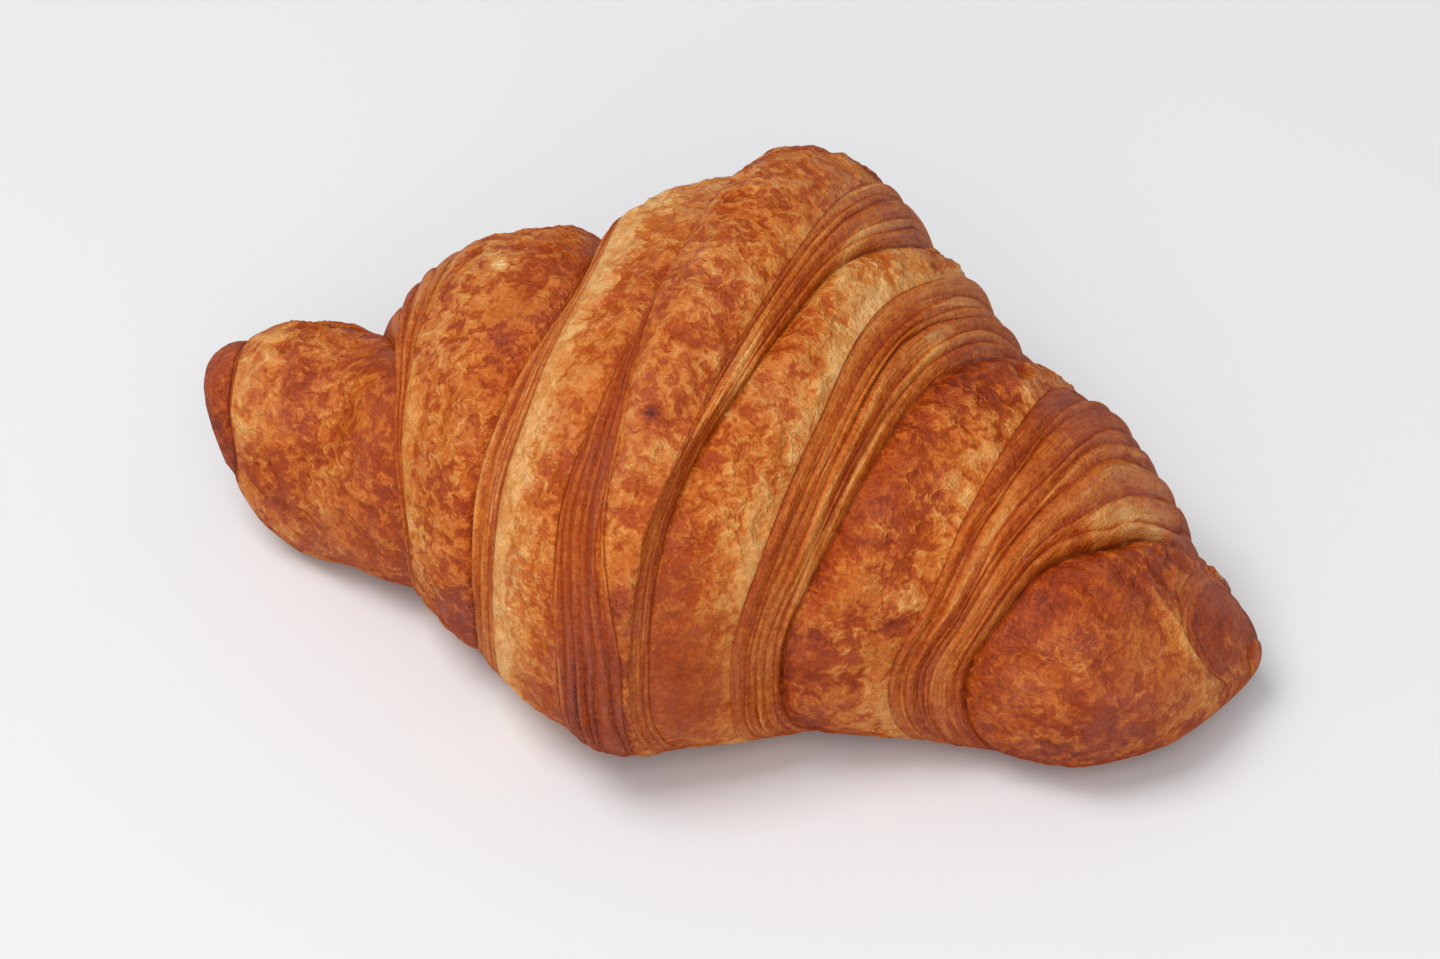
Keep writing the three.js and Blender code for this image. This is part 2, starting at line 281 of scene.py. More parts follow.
# Noises of the crust's material: cells per mm, detail and roughness
NOISES = {
    "warp": (0.4, 2, 0.5),
    "blotches": (0.1, 3, 0.55),
    "patches": (0.55, 3, 0.55),
    "squiggles": (0.32, 2, 0.55),
    "wrinkled areas": (0.08, 2, 0.55),
    "patchy areas": (0.05, 2, 0.55),
    "torn film": (0.2, 4, 0.6),
    "grain": (1.5, 3, 0.65),
    "speckle": (4, 2, 0.55),
    "streaks": (1.5, 5, 0.6),
    "broad streaks": (0.5, 2, 0.5),
    "fine streaks": (5, 2, 0.55),
    "films": (0.9, 2, 0.5),
    "rosy areas": (0.07, 2, 0.55),
    "roughness": (0.5, 3, 0.55),
    "shiny areas": (0.07, 3, 0.55),
}
NOISE_MIDDLE = 0.5
WARP_REACH = 3.5  # mm
AROUND_RADIUS = 30  # mm, for lengths round the loaf
BAND_SPACING = 40  # mm between the patterns of neighbouring bands, so that they differ
STREAK_STRETCH = 20  # how many times longer than wide the streaks are
BLOTCHES_IN_PATCHES = 0.5
TORN_RAGGEDNESS = 2.4

# What each pattern turns into: from a low and a high value to the effect at each
EFFECTS = {
    "islands": (0.68, 0.82, -0.5, 0.5),
    "squiggles": (0, 0.06, 1, 0),
    "wrinkled areas": (0.4, 0.6, 0.2, 1),
    "patchy areas": (0.35, 0.65, 0.13, 0.25),
    "torn film": (0.3, 0.56, 0, 1),
    "films": (0.6, 0.66, 0, 1),
    "rosy areas": (0.52, 0.75, 0, 0.05),
    "roughness": (0.3, 0.7, 0.24, 0.44),
    "shiny areas": (0.45, 0.62, 0.4, 1.6),
    "specular level by facing": (0.2, 0.8, 0.18, 0.01),
    "coat by facing": (0.2, 0.8, 0.36, 0),
}

# How much darker a pattern makes the skins, the layers or both, as a tone. On the skins, worms are paler
# along their raised lines as painted highlights, and raised is paler on the wrinkles' crests and darker
# in their hollows as painted light and shade.
SKIN_TONES = {"worms": -0.19, "raised": -0.14, "blotches": 0.28, "torn film": -0.22}
LAYER_TONES = {
    "streaks": 0.4,
    "broad streaks": 0.3,
    "fine streaks": 0.3,
    "islands": 0.08,
    "films": -0.15,
}
GRAIN_TONE = 0.38
MOTTLING_LOST_IN_FILM = 0.4
UNEVENNESS_LOST_IN_SMOOTH = 0.8
COAT_LOST_IN_SMOOTH = 0.7
COAT_ROUGHNESS = 0.1

# How high each pattern stands on the skins, the layers and both, as a share of the bump's distance
SKIN_BUMPS = {"islands": -0.22, "islands under film": 0.1, "worms": 0.4}
LAYER_BUMPS = {"streaks": 1.1, "islands": -0.3, "fine streaks": 0.4}
BUMPS = {"grain": 1.1, "speckle": 0.16}
BUMP_STRENGTH = 0.8
BUMP_DISTANCE = 0.6  # mm

# Studio: sizes and places in metres, and powers in watts
FLOOR_SIZE = 6
FLOOR_COLOUR = (228, 229, 231)
FLOOR_ROUGHNESS = 0.9
FLOOR_SPECULAR = 0.1
WORLD_STRENGTH = 0.38
LIGHT_AIM = (0, 0, 0.03)
SOFTBOXES = {
    "key": {"place": (-0.4, -0.4, 1.4), "size": 0.7, "power": 12.5, "shows_in_gloss": True},
    "fill": {"place": (0.35, -1.15, 1.1), "size": 1.2, "power": 11.5, "shows_in_gloss": False},
}

# Camera, fitted to the photograph's outline: degrees and mm
CAMERA_AZIMUTH = 21
CAMERA_ELEVATION = 43
CAMERA_DISTANCE = 700
CAMERA_TARGET = (0, -1.95, 25)
CAMERA_LENS = 120.75
SENSOR = 36


def lerp(a, b, t):
    return a + (b - a) * t


def smoothstep(x, low, high):
    t = np.clip((x - low) / (high - low), 0, 1)
    return t * t * (3 - 2 * t)


def smooth_table(places, values, at):
    """A value given at rising places, read between them by a smooth curve that never overshoots."""
    places = np.asarray(places, float)
    values = np.asarray(values, float)
    x = np.clip(at, places[0], places[-1])
    steps = np.diff(places)
    rises = np.diff(values) / steps
    product = rises[:-1] * rises[1:]
    total = np.where(product > 0, rises[:-1] + rises[1:], 1)
    inner = np.where(product > 0, 2 * product / total, 0)
    slopes = np.concatenate([rises[:1], inner, rises[-1:]])
    i = np.clip(np.searchsorted(places, x) - 1, 0, len(places) - 2)
    t = (x - places[i]) / steps[i]
    u = 1 - t
    return (
        values[i] * u * u * (1 + 2 * t)
        + values[i + 1] * t * t * (3 - 2 * t)
        + steps[i] * u * t * (slopes[i] * u - slopes[i + 1] * t)
    )


def place_of(line, angle):
    """A line's place along the loaf at an angle round it. Under the loaf it runs straight back across."""
    under = (line[0] + line[-1]) / 2
    return smooth_table((-math.pi, *CROSSINGS, math.pi), (under, *line, under), angle)


def hashed(i, j, k, offset=0):
    """A number from 0 to 1 that looks random but is the same for the same three steps and offset."""
    wave = np.sin(i * HASH_STEPS[0] + j * HASH_STEPS[1] + k * HASH_STEPS[2] + offset)
    return (wave * HASH_SCALE) % 1


def unevenness(spec, x, angle):
    """Smooth unevenness from -height to height, which closes on itself round the loaf."""
    u = x / spec["cell"]
    v = ((angle / math.tau + 1) % 1) * spec["round"]
    i = np.floor(u)
    j = np.floor(v)
    s = smoothstep(u - i, 0, 1)
    t = smoothstep(v - j, 0, 1)
    k = (j + 1) % spec["round"]
    near = lerp(hashed(i, j, spec["seed"]), hashed(i + 1, j, spec["seed"]), s)
    far = lerp(hashed(i, k, spec["seed"]), hashed(i + 1, k, spec["seed"]), s)
    return spec["height"] * (2 * lerp(near, far, t) - 1)


def signed_power(value, exponent):
    return np.sign(value) * np.abs(value) ** exponent


def loaf_points(x, angle):
    """The plain loaf's surface. Angle 0 is the crest, and positive angles are at the front."""
    out = np.minimum(np.abs(x) / REACH, 1)
    cap = np.sqrt(1 - out**HORN_BLUNTNESS)
    crest = smooth_table(STATIONS, CREST, x)
    underside = smooth_table(STATIONS, UNDERSIDE, x)
    level = lerp(underside, crest, LEVEL_SHARE)
    upper = np.cos(angle) >= 0
    exponent = 2 / np.where(upper, TOP_FULLNESS, BASE_FULLNESS)
    reach_up = np.where(upper, crest - level, level - underside)
    half_width = smooth_table(STATIONS, HALF_WIDTH, x) * cap
    y = smooth_table(STATIONS, MIDLINE, x) - half_width * signed_power(np.sin(angle), exponent)
    z = level + reach_up * cap * signed_power(np.cos(angle), exponent)
    return np.stack([x + 0 * angle, y, z], axis=-1)


def loaf_normals(x, angle):
    inside = np.clip(x, NUDGE - REACH, REACH - NUDGE)
    along = loaf_points(inside + NUDGE, angle) - loaf_points(inside - NUDGE, angle)
    around = loaf_points(x, angle + NUDGE) - loaf_points(x, angle - NUDGE)
    normals = np.cross(around, along)
    return normals / np.maximum(np.linalg.norm(normals, axis=-1, keepdims=True), TINY)


def strength(angle):
    """How much of the relief is left at an angle: all at the front, top and back, little underneath."""
    under = smoothstep(np.abs(angle), math.pi / 2, 3 * math.pi / 4)
    return lerp(1, UNDERSIDE_RELIEF, under)


def side_heights(line, angle):
    """Height at a line, height of the skin's edge there, and whether the skin rises from a groove."""
    fold = line["fold"]
    if line["kind"] == "groove":
        return -place_of(fold["depth"], angle) * strength(angle), 0, True
    if line["kind"] == "edge":
        lip = place_of(fold["lip"], angle) * strength(angle)
        return lip, lip, False
    return 0, 0, False


def skin_height(t, left, right, width, angle):
    """Height of a skin at share t of its width."""

    def rise(share):
        return np.sqrt(1 - (1 - np.minimum(share, 1)) ** 2)

    left_height, left_lip, left_groove = side_heights(left, angle)
    right_height, right_lip, right_groove = side_heights(right, angle)
    start = rise(t / SHOULDER) if left_groove else 1
    finish = rise((1 - t) / SHOULDER) if right_groove else 1
    room = np.clip(width / CROWN_WIDTH, 0, 1)
    crown = CROWN * room * strength(angle) * np.sin(math.pi * t) ** CROWN_ROUNDNESS
    flat = lerp(left_lip, right_lip, t)
    return start * finish * (flat + crown) + (1 - start) * left_height + (1 - finish) * right_height


def layer_ends(fold):
    """Where a fold's layers end, as shares of the way from its lip to its groove."""
    return np.concatenate([[0], np.cumsum(fold["layers"]) / sum(fold["layers"])])


def layer_place(t, fold):
    """Which layer share t of the way from lip to groove is in, and how far across that layer it is."""
    ends = layer_ends(fold)
    index = np.clip(np.searchsorted(ends, t, side="right") - 1, 0, len(fold["layers"]) - 1)
    return index, np.clip((t - ends[index]) / (ends[index + 1] - ends[index]), 0, 1)


def crease_shift(k, number, fold, angle):
    """How far the crease before layer k strays, as a share of its band. The band's own sides don't."""
    ends = layer_ends(fold)
    inner = (k > 0) & (k < len(fold["layers"]))
    before = ends[k] - ends[np.maximum(k - 1, 0)]
    after = ends[np.minimum(k + 1, len(fold["layers"]))] - ends[k]
    along = k + BAND_STRIDE * number
    stray = unevenness(LAYER_PINCH, along, angle) + unevenness(LAYER_TREMOR, along, angle)
    return np.where(inner, np.minimum(before, after) * stray, 0)


def layer_relief(t, fold, width, angle):
    """Height among a fold's layers at share t of the way from lip to groove, and how far up its ridge."""
    drop = fold["step"] * np.clip(t / STEP_SHARE, 0, 1)
    top = (place_of(fold["lip"], angle) - drop) * strength(angle)
    bottom = -place_of(fold["depth"], angle) * strength(angle)
    index, phase = layer_place(t, fold)
    ends = layer_ends(fold)
    ridge = np.sin(math.pi * phase**RIDGE_SKEW)
    room = np.clip(width * (ends[index + 1] - ends[index]) / LAYER_WIDTH, 0, WIDE_LAYER)
    lively = {**LAYER_LIVELINESS, "seed": len(fold["layers"])}
    liveliness = USUAL_LIVELINESS + unevenness(lively, index, angle)
    raised = RIDGE_HEIGHT * fold["ridge"] * room * strength(angle) * liveliness * ridge
    return lerp(top, bottom, t ** fold["slump"]) + raised, ridge


def lines_along():
    """The lines that bound the zones, from the left tip to the right tip."""
    lines = [{"line": (-REACH,) * len(CROSSINGS), "kind": "tip", "fold": None}]
    for fold in FOLDS:
        pair = [
            {"line": fold["groove"], "kind": "groove", "fold": fold},
            {"line": fold["edge"], "kind": "edge", "fold": fold},
        ]
        crest = len(CROSSINGS) // 2
        lines += sorted(pair, key=lambda one: one["line"][crest])
    lines.append({"line": (REACH,) * len(CROSSINGS), "kind": "tip", "fold": None})
    return lines


def skin_columns(count):
    """Columns of a skin, as shares of its width, closer together at its sides."""
    return (1 - np.cos(math.pi * np.arange(count) / count)) / 2


def layer_columns(fold, left_kind):
    """Columns of a band of layers, as shares of its width: at its cut edge and in each layer."""
    ends = layer_ends(fold)
    steps = (np.arange(1, LAYER_COLUMNS + 1) / LAYER_COLUMNS) ** COLUMN_CROWDING
    inner = [lerp(low, high, steps) for low, high in zip(ends[:-1], ends[1:])]
    from_lip = np.unique(np.concatenate([[0, STEP_SHARE], *inner]))
    return 1 - from_lip[:0:-1] if left_kind == "groove" else from_lip[:-1]


def zones_along():
    """Each zone of the crust with its columns: skins and bands of layers in turn."""
    lines = lines_along()
    zones = []
    skins = iter(SKINS)
    for left, right in zip(lines[:-1], lines[1:]):
        fold = left["fold"] if left["fold"] is right["fold"] else None
        zone = {"left": left, "right": right, "fold": fold}
        if fold:
            zone["shares"] = layer_columns(fold, left["kind"])
        else:
            at_tip = "tip" in (left["kind"], right["kind"])
            zone["skin"] = next(skins)
            zone["shares"] = skin_columns(TIP_COLUMNS if at_tip else SKIN_COLUMNS)
        zones.append(zone)
    return zones


def row_angles():
    """Even steps along the middle section's outline, wider under the loaf."""
    edges = np.linspace(-math.pi, math.pi, ARC_STEPS + 1)
    points = loaf_points(np.zeros_like(edges), edges)
    steps = np.linalg.norm(np.diff(points, axis=0), axis=1)
    under = np.cos((edges[1:] + edges[:-1]) / 2) < 0
    lengths = np.concatenate([[0], np.cumsum(steps / np.where(under, UNDERSIDE_ROW_SPACING, 1))])
    return np.interp(lengths[-1] * np.arange(ROWS) / ROWS, lengths, edges)


def solid_noise(points, cell, seed):
    """Smooth noise from -1 to 1 in space, with cells of one size in mm."""
    low = np.floor(points / cell)
    part = smoothstep(points / cell - low, 0, 1)
    total = 0
    for corner in itertools.product((0, 1), repeat=3):
        weight = np.prod(np.where(corner, part, 1 - part), axis=-1)
        at = low + corner
        value = hashed(at[..., 0], at[..., 1], at[..., 2], seed * NOISE_SEED_STEP)
        total = total + weight * value
    return 2 * total - 1


def wrinkles(points):
    """The skin's net of fine wrinkles, in mm."""
    warp = WRINKLE_WARP["height"] * np.stack(
        [solid_noise(points, WRINKLE_WARP["cell"], seed) for seed in WRINKLE_WARP["seeds"]], axis=-1
    )
    total = 0
    for spec in WRINKLES:
        ridged = 1 - np.abs(solid_noise(points + warp, spec["cell"], spec["seed"]))
        total = total + spec["height"] * (2 * ridged**2 - 1)
    return total


def spot(x, angle, along, round_degrees, reach, reach_degrees):
    """1 at the middle of a soft spot on the crust, falling to 0 outside it."""
    u = (x - along) / reach
    v = (np.degrees(angle) - round_degrees) / reach_degrees
    return np.exp(-(u**2) - v**2)


def marks_tone(x, angle):
    """How much darker the named marks make the crust at a place."""
    return sum(shift * spot(x, angle, *place) for *place, shift in MARKS.values())


def strand_share(strand, x, angle):
    """1 along the middle of a strand, falling to 0 beside it and at its ends."""
    angles = np.radians(strand["angles"])
    place = smooth_table(angles, strand["places"], angle)
    ahead = smooth_table(angles, strand["places"], angle + NUDGE)
    slope = (ahead - place) / (NUDGE * strand["radius"])
    across = (x - place) / (strand["half_width"] * np.sqrt(1 + slope**2))
    fade = math.radians(STRAND_FADE)
    start = smoothstep(angle, angles[0] - fade, angles[0])
    end = smoothstep(angle, angles[-1], angles[-1] + fade)
    return np.exp(-(across**2)) * start * (1 - end)


def horn_fade(middle):
    """1 along the loaf, falling to 0 at its two ends."""
    return np.clip(HORN_STEEPNESS * (1 - np.abs(middle) / REACH), 0, 1)


def crust_places(middle, angle):
    """Places along the loaf, straying a little from even lines."""
    stray = unevenness(WANDER, middle, angle) * horn_fade(middle)
    return np.clip(middle + stray, -REACH, REACH)


def layer_facts(zone, number, share, width, left, right, angle):
    """Places, relief and colour facts of a band of layers."""
    fold = zone["fold"]
    rightward = zone["left"]["kind"] == "edge"
    from_lip = (share if rightward else 1 - share) + 0 * angle
    index, phase = layer_place(from_lip, fold)
    near = crease_shift(index, number, fold, angle)
    shift = lerp(near, crease_shift(index + 1, number, fold, angle), phase)
    share = share + (shift if rightward else -shift)
    relief, ridge = layer_relief(from_lip, fold, width, angle)
    shown = 1 - CREASE_FADE * smoothstep(np.abs(angle), *np.radians(CREASE_FADE_DEGREES))
    # Painted shade in the creases between layers and painted light on their ridges, less towards the foot
    crease = fold["ridge"] * shown * ((1 - ridge) ** CREASE_SHARPNESS - PAINTED_RIDGE_LIGHT)
    tint = unevenness({**LAYER_TINT, "seed": number}, index, angle)
    facts = {
        "tone": fold["tone"] + PAINTED_CREASE_SHADE * crease + tint,
        "pale": np.zeros_like(angle),
        "raised": np.zeros_like(angle),
        "layered": np.ones_like(angle),
        "across": number * BAND_SPACING + (share - 0.5) * width,
    }
    return lerp(left, right, share), relief, facts


def skin_facts(zone, number, share, width, left, right, angle):
    """Places, relief and colour facts of a skin."""
    skin = zone["skin"]
    middle = lerp(left, right, share)
    side = skin["left"] * (1 - smoothstep(share, 0, PALE_BAND))
    side = side + skin["right"] * smoothstep(share, 1 - PALE_BAND, 1) + 0 * angle
    inside = np.clip(np.minimum(share, 1 - share) / WRINKLE_MARGIN, WRINKLE_REST, 1)
    at = loaf_points(crust_places(middle, angle), angle)
    raised = wrinkles(at) * inside * horn_fade(middle) * strength(angle)
    relief = skin_height(share + 0 * angle, zone["left"], zone["right"], width, angle) + raised
    # The tone holds painted shade on the sides that rise from a groove
    facts = {
        "tone": skin["tone"] - PAINTED_GROOVE_SHADE * np.minimum(side, 0),
        "pale": np.maximum(side, 0),
        "raised": raised,
        "layered": np.zeros_like(angle),
        "across": number * BAND_SPACING + (share - 0.5) * width,
    }
    return middle, relief, facts


def zone_columns(zone, number, angles):
    """The crust's points and colour facts in one zone, as arrays with a column for each share."""
    share = zone["shares"][:, None]
    angle = angles[None, :] + 0 * share
    left = place_of(zone["left"]["line"], angles)[None, :]
    right = place_of(zone["right"]["line"], angles)[None, :]
    facts_of = layer_facts if zone["fold"] else skin_facts
    middle, relief, facts = facts_of(zone, number, share, right - left, left, right, angle)
    x = crust_places(middle, angle)
    for strand in STRANDS.values():
        there = strand_share(strand, x, angle)
        relief = relief + strand["height"] * there
        facts["tone"] = facts["tone"] + strand["tone"] * there
    relief = relief + unevenness(LUMPS, x, angle) * horn_fade(middle)
    points = loaf_points(x, angle) + loaf_normals(x, angle) * relief[..., None]
    points[..., 2] = np.maximum(points[..., 2], 0)
    smooth = spot(x, angle, *SMOOTH_FOOT)
    facts["tone"] = facts["tone"] + marks_tone(x, angle) + SMOOTH_FOOT_DARKNESS * smooth
    facts["pale"] = facts["pale"] * (1 - smooth)
    facts["smooth"] = smooth
    facts["around"] = angle * AROUND_RADIUS
    return points, facts


def crust_mesh():
    """The whole crust as one closed mesh in metres, with its colour facts as attributes."""
    angles = row_angles()
    parts = [zone_columns(zone, number, angles) for number, zone in enumerate(zones_along())]
    grid = np.concatenate([points for points, _ in parts])[1:]
    names = parts[0][1].keys()
    facts = {name: np.concatenate([part[name] for _, part in parts])[1:] for name in names}
    columns = len(grid)
    tips = loaf_points(np.array([-REACH, REACH]), np.zeros(2))
    points = np.concatenate([tips[:1], grid.reshape(-1, 3), tips[1:]])
    centre = (points.min(0) + points.max(0)) / 2
    points = (points - (centre[0], centre[1], points[:, 2].min())) * MM
    at = 1 + np.arange(columns * ROWS).reshape(columns, ROWS)
    after = np.roll(at, -1, axis=1)
    quads = np.stack([at[:-1], after[:-1], after[1:], at[1:]], axis=-1).reshape(-1, 4)
    last = len(points) - 1
    faces = quads.tolist()
    faces += [(0, b, a) for a, b in zip(at[0].tolist(), after[0].tolist())]
    faces += [(last, a, b) for a, b in zip(at[-1].tolist(), after[-1].tolist())]
    mesh = bpy.data.meshes.new("crust")
    mesh.from_pydata(points.tolist(), [], faces)
    for name, values in facts.items():
        ends = [values[0].mean()], values.ravel(), [values[-1].mean()]
        attribute = mesh.attributes.new(name, "FLOAT", "POINT")
        attribute.data.foreach_set("value", np.concatenate(ends).astype(np.float32))
    mesh.shade_smooth()
    mesh.validate()
    return mesh


def linear(colour):
    """An sRGB colour from 0 to 255 as a linear one with alpha."""
    scaled = np.array(colour) / 255
    value = np.where(scaled <= 0.04045, scaled / 12.92, ((scaled + 0.055) / 1.055) ** 2.4)
    return (*value.tolist(), 1)


# The sockets of a Mix node for each kind: those of its share and its two values, and its output
MIX_SOCKETS = {"FLOAT": ((0, 2, 3), 0), "RGBA": ((0, 6, 7), 2)}


class Nodes:
    """Short calls for a material's nodes. Each gives the socket that it makes."""

    def __init__(self, tree):
        self.tree = tree

    def node(self, kind, **settings):
        made = self.tree.nodes.new(kind)
        for name, value in settings.items():
            setattr(made, name, value)
        return made

    def put(self, value, socket):
        if isinstance(value, bpy.types.NodeSocket):
            self.tree.links.new(value, socket)
        else:
            socket.default_value = value

    def attribute(self, name):
        return self.node("ShaderNodeAttribute", attribute_name=name).outputs["Fac"]

    def math(self, operation, *values):
        made = self.node("ShaderNodeMath", operation=operation)
        for value, socket in zip(values, made.inputs):
            self.put(value, socket)
        return made.outputs[0]

    def times(self, a, b):
        return self.math("MULTIPLY", a, b)

    def plus(self, total, value, share):
        """total and a share of value."""
        return self.math("MULTIPLY_ADD", value, share, total)

    def rest(self, value, loss):
        """What is left of 1 where value takes a share of it away."""
        return self.plus(1, value, -loss)

    def off_middle(self, value):
        return self.math("SUBTRACT", value, NOISE_MIDDLE)

    def noise(self, pattern, place, output="Fac"):
        made = self.node("ShaderNodeTexNoise")
        self.put(place, made.inputs["Vector"])
        for name, value in zip(("Scale", "Detail", "Roughness"), NOISES[pattern]):
            made.inputs[name].default_value = value
        return made.outputs[output]

    def effect(self, pattern, value):
        """The pattern's effect at a value, which stays the same below its low and above its high one."""
        made = self.node("ShaderNodeMapRange", clamp=True)
        for wanted, socket in zip((value, *EFFECTS[pattern]), made.inputs):
            self.put(wanted, socket)
        return made.outputs[0]

    def ramp(self, value, stops):
        made = self.node("ShaderNodeValToRGB")
        elements = made.color_ramp.elements
        while len(elements) < len(stops):
            elements.new(0.5)
        for element, (place, colour) in zip(elements, stops):
            element.position = place
            element.color = linear(colour)
        self.put(value, made.inputs[0])
        return made.outputs[0]

    def mix(self, kind, share, a, b):
        """From a to b, for numbers or colours."""
        made = self.node("ShaderNodeMix", data_type=kind)
        inputs, output = MIX_SOCKETS[kind]
        for value, place in zip((share, a, b), inputs):
            self.put(value, made.inputs[place])
        return made.outputs[output]


def place_in_mm(n):
    scaled = n.node("ShaderNodeVectorMath", operation="SCALE")
    n.put(n.node("ShaderNodeTexCoord").outputs["Object"], scaled.inputs[0])
    scaled.inputs["Scale"].default_value = 1 / MM
    return scaled.outputs[0]


def warped_place(n, place):
    warped = n.node("ShaderNodeVectorMath", operation="MULTIPLY_ADD")
    n.put(n.noise("warp", place, "Color"), warped.inputs[0])
    warped.inputs[1].default_value = (WARP_REACH,) * 3
    n.put(place, warped.inputs[2])
    return warped.outputs[0]


def place_among_layers(n):
    """Across the layers in mm, and along them much slower, so that patterns become streaks."""
    flow = n.node("ShaderNodeCombineXYZ")
    n.put(n.attribute("across"), flow.inputs[0])
    n.put(n.times(n.attribute("around"), 1 / STREAK_STRETCH), flow.inputs[1])
    return flow.outputs[0]


def crust_patterns(n, place):
    """The patterns of the skins and layers, by name."""
    warped = warped_place(n, place)
    flow = place_among_layers(n)
    blotches = n.noise("blotches", place)
    patches = n.plus(n.noise("patches", warped), blotches, BLOTCHES_IN_PATCHES)
    beside_squiggle = n.math("ABSOLUTE", n.off_middle(n.noise("squiggles", warped)))
    wrinkled = n.effect("wrinkled areas", n.noise("wrinkled areas", place))
    ragged = n.plus(n.attribute("pale"), n.off_middle(n.noise("torn film", warped)), TORN_RAGGEDNESS)
    return {
        "blotches": n.off_middle(blotches),
        "islands": n.effect("islands", patches),
        "worms": n.times(n.effect("squiggles", beside_squiggle), wrinkled),
        "raised": n.attribute("raised"),
        "torn film": n.effect("torn film", ragged),
        "grain": n.noise("grain", place),
        "speckle": n.noise("speckle", place),
        "streaks": n.noise("streaks", flow),
        "broad streaks": n.noise("broad streaks", flow),
        "fine streaks": n.noise("fine streaks", flow),
        "films": n.effect("films", n.noise("films", flow)),
        "uneven share": n.rest(n.attribute("smooth"), UNEVENNESS_LOST_IN_SMOOTH),
    }


def crust_colour(n, place, patterns):
    """The baked colour with painted light and shade, from the tone attribute and what the patterns change
    in it.
    """
    patchiness = n.effect("patchy areas", n.noise("patchy areas", place))
    skin = n.times(patterns["islands"], patchiness)
    # Painted highlights along the worms' raised lines, and painted light and shade on the wrinkles'
    # crests and hollows
    for name in ("worms", "raised"):
        skin = n.plus(skin, patterns[name], SKIN_TONES[name])
    skin = n.times(skin, n.rest(patterns["torn film"], MOTTLING_LOST_IN_FILM))
    for name in ("blotches", "torn film"):
        skin = n.plus(skin, patterns[name], SKIN_TONES[name])
    skin = n.times(skin, patterns["uneven share"])
    layers = 0
    for name, darker in LAYER_TONES.items():
        value = n.off_middle(patterns[name]) if "streaks" in name else patterns[name]
        layers = n.plus(layers, value, darker)
    shift = n.mix("FLOAT", n.attribute("layered"), skin, layers)
    tone = n.math("ADD", n.attribute("tone"), shift)
    tone = n.plus(tone, n.off_middle(patterns["grain"]), GRAIN_TONE)
    rosy = n.effect("rosy areas", n.noise("rosy areas", place))
    return n.mix("RGBA", rosy, n.ramp(tone, TONES), linear(ROSY))


def crust_bump(n, patterns):
    """The finest relief, as a normal."""
    islands = patterns["islands"]
    sinking = n.plus(SKIN_BUMPS["islands"], patterns["torn film"], SKIN_BUMPS["islands under film"])
    skin = n.plus(n.times(islands, sinking), patterns["worms"], SKIN_BUMPS["worms"])
    skin = n.times(skin, patterns["uneven share"])
    layers = 0
    for name, height in LAYER_BUMPS.items():
        layers = n.plus(layers, patterns[name], height)
    height = n.mix("FLOAT", n.attribute("layered"), skin, layers)
    for name, share in BUMPS.items():
        height = n.plus(height, patterns[name], share)
    bump = n.node("ShaderNodeBump")
    bump.inputs["Strength"].default_value = BUMP_STRENGTH
    bump.inputs["Distance"].default_value = BUMP_DISTANCE * MM
    n.put(height, bump.inputs["Height"])
    return bump.outputs[0]


def add_gloss(n, shader, place):
    """An uneven sheen, as of brushed egg, which is weaker where the crust turns away."""
    facing = n.node("ShaderNodeLayerWeight").outputs["Facing"]
    shiny = n.effect("shiny areas", n.noise("shiny areas", place))
    coat = n.times(shiny, n.effect("coat by facing", facing))
    coat = n.times(coat, n.rest(n.attribute("smooth"), COAT_LOST_IN_SMOOTH))
    n.put(n.effect("roughness", n.noise("roughness", place)), shader.inputs["Roughness"])
    n.put(n.effect("specular level by facing", facing), shader.inputs["Specular IOR Level"])
    n.put(coat, shader.inputs["Coat Weight"])
    shader.inputs["Coat Roughness"].default_value = COAT_ROUGHNESS


def crust_material():
    """Baked, egg-washed pastry: mottled skins, streaked layers, painted light and shade on wrinkles,
    creases and grooves, and a satin sheen.
    """
    material = bpy.data.materials.new("crust")
    material.use_nodes = True
    n = Nodes(material.node_tree)
    shader = material.node_tree.nodes["Principled BSDF"]
    place = place_in_mm(n)
    patterns = crust_patterns(n, place)
    n.put(crust_colour(n, place, patterns), shader.inputs["Base Color"])
    add_gloss(n, shader, place)
    normal = crust_bump(n, patterns)
    n.put(normal, shader.inputs["Normal"])
    n.put(normal, shader.inputs["Coat Normal"])
    return material


def add_crust():
    crust = bpy.data.objects.new("crust", crust_mesh())
    bpy.context.collection.objects.link(crust)
    crust.data.materials.append(crust_material())
    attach(crust, "root")
    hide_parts("croissant")


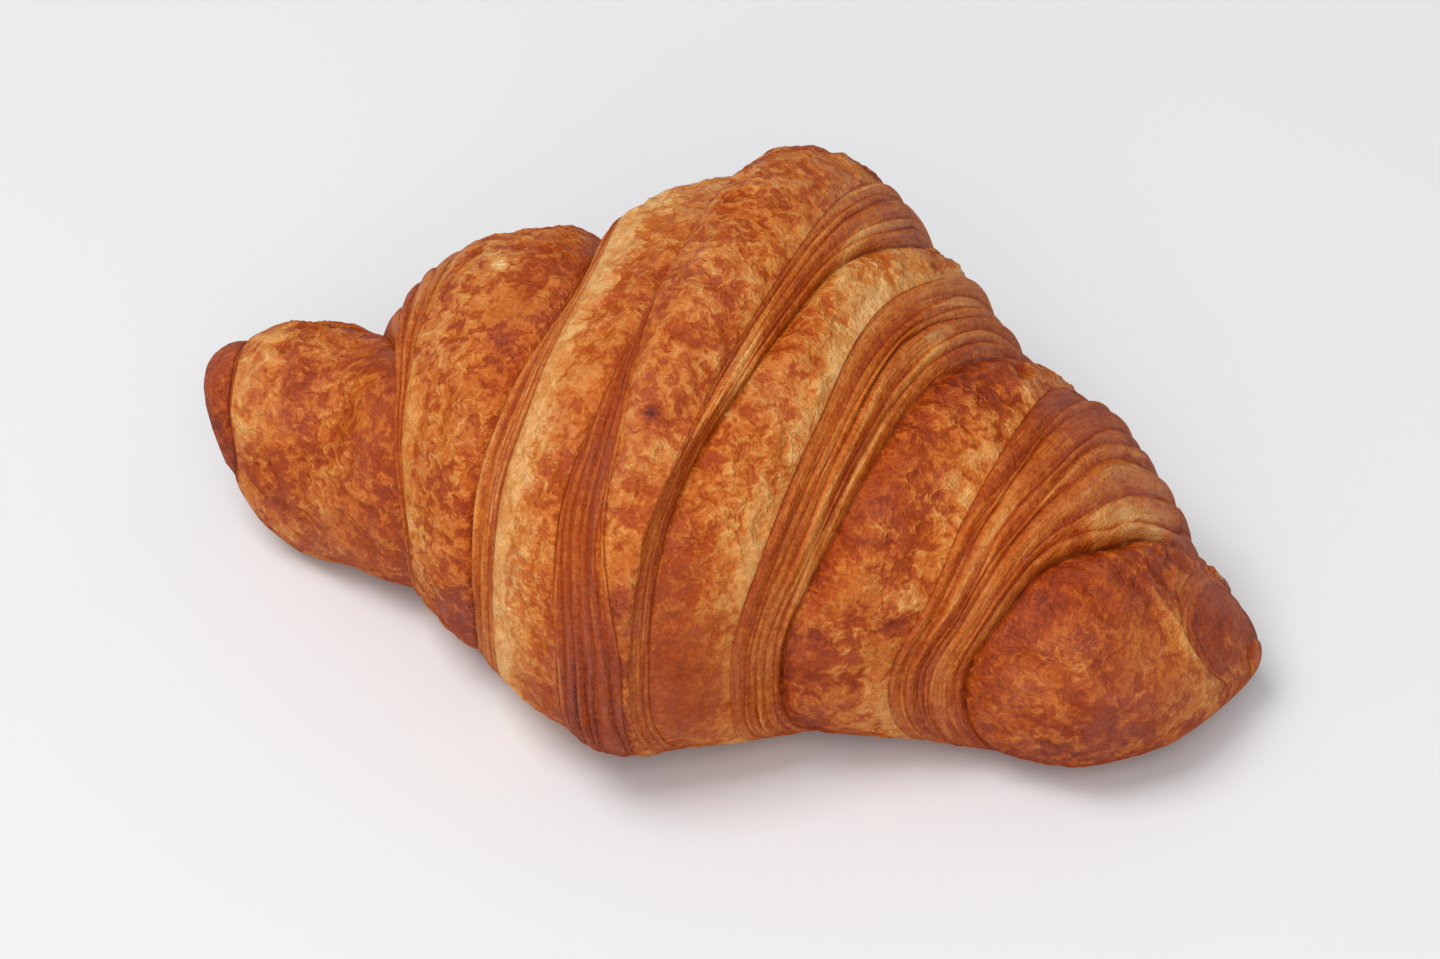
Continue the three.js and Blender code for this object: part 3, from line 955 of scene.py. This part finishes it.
def add_floor():
    bpy.ops.mesh.primitive_plane_add(size=FLOOR_SIZE)
    floor = bpy.context.object
    floor.name = "floor"
    material = bpy.data.materials.new("floor")
    material.use_nodes = True
    shader = material.node_tree.nodes["Principled BSDF"]
    shader.inputs["Base Color"].default_value = linear(FLOOR_COLOUR)
    shader.inputs["Roughness"].default_value = FLOOR_ROUGHNESS
    shader.inputs["Specular IOR Level"].default_value = FLOOR_SPECULAR
    floor.data.materials.append(material)


def add_softbox(name, place, size, power, shows_in_gloss):
    light = bpy.data.lights.new(name, "AREA")
    light.shape = "SQUARE"
    light.size = size
    light.energy = power
    softbox = bpy.data.objects.new(name, light)
    bpy.context.collection.objects.link(softbox)
    softbox.location = place
    aim = Vector(LIGHT_AIM) - Vector(place)
    softbox.rotation_euler = aim.to_track_quat("-Z", "Y").to_euler()
    softbox.visible_glossy = shows_in_gloss


def add_light():
    world = bpy.data.worlds.new("studio")
    bpy.context.scene.world = world
    world.use_nodes = True
    background = world.node_tree.nodes["Background"]
    background.inputs["Color"].default_value = (1, 1, 1, 1)
    background.inputs["Strength"].default_value = WORLD_STRENGTH
    for name, facts in SOFTBOXES.items():
        add_softbox(name, **facts)


def add_camera():
    data = bpy.data.cameras.new("camera")
    data.sensor_width = SENSOR
    data.lens = CAMERA_LENS
    camera = bpy.data.objects.new("camera", data)
    bpy.context.collection.objects.link(camera)
    azimuth = math.radians(CAMERA_AZIMUTH)
    elevation = math.radians(CAMERA_ELEVATION)
    back = Vector(
        (
            math.sin(azimuth) * math.cos(elevation),
            -math.cos(azimuth) * math.cos(elevation),
            math.sin(elevation),
        )
    )
    camera.location = (Vector(CAMERA_TARGET) + CAMERA_DISTANCE * back) * MM
    camera.rotation_euler = back.to_track_quat("Z", "Y").to_euler()
    bpy.context.scene.camera = camera


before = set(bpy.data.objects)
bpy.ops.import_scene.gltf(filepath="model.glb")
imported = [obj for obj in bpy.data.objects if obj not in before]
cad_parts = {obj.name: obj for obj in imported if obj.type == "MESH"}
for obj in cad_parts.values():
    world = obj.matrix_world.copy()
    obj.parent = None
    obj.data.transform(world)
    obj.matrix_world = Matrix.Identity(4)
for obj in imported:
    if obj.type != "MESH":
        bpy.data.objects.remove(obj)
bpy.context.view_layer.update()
add_crust()
add_floor()
add_light()
add_camera()
bpy.context.scene.view_settings.view_transform = "Standard"
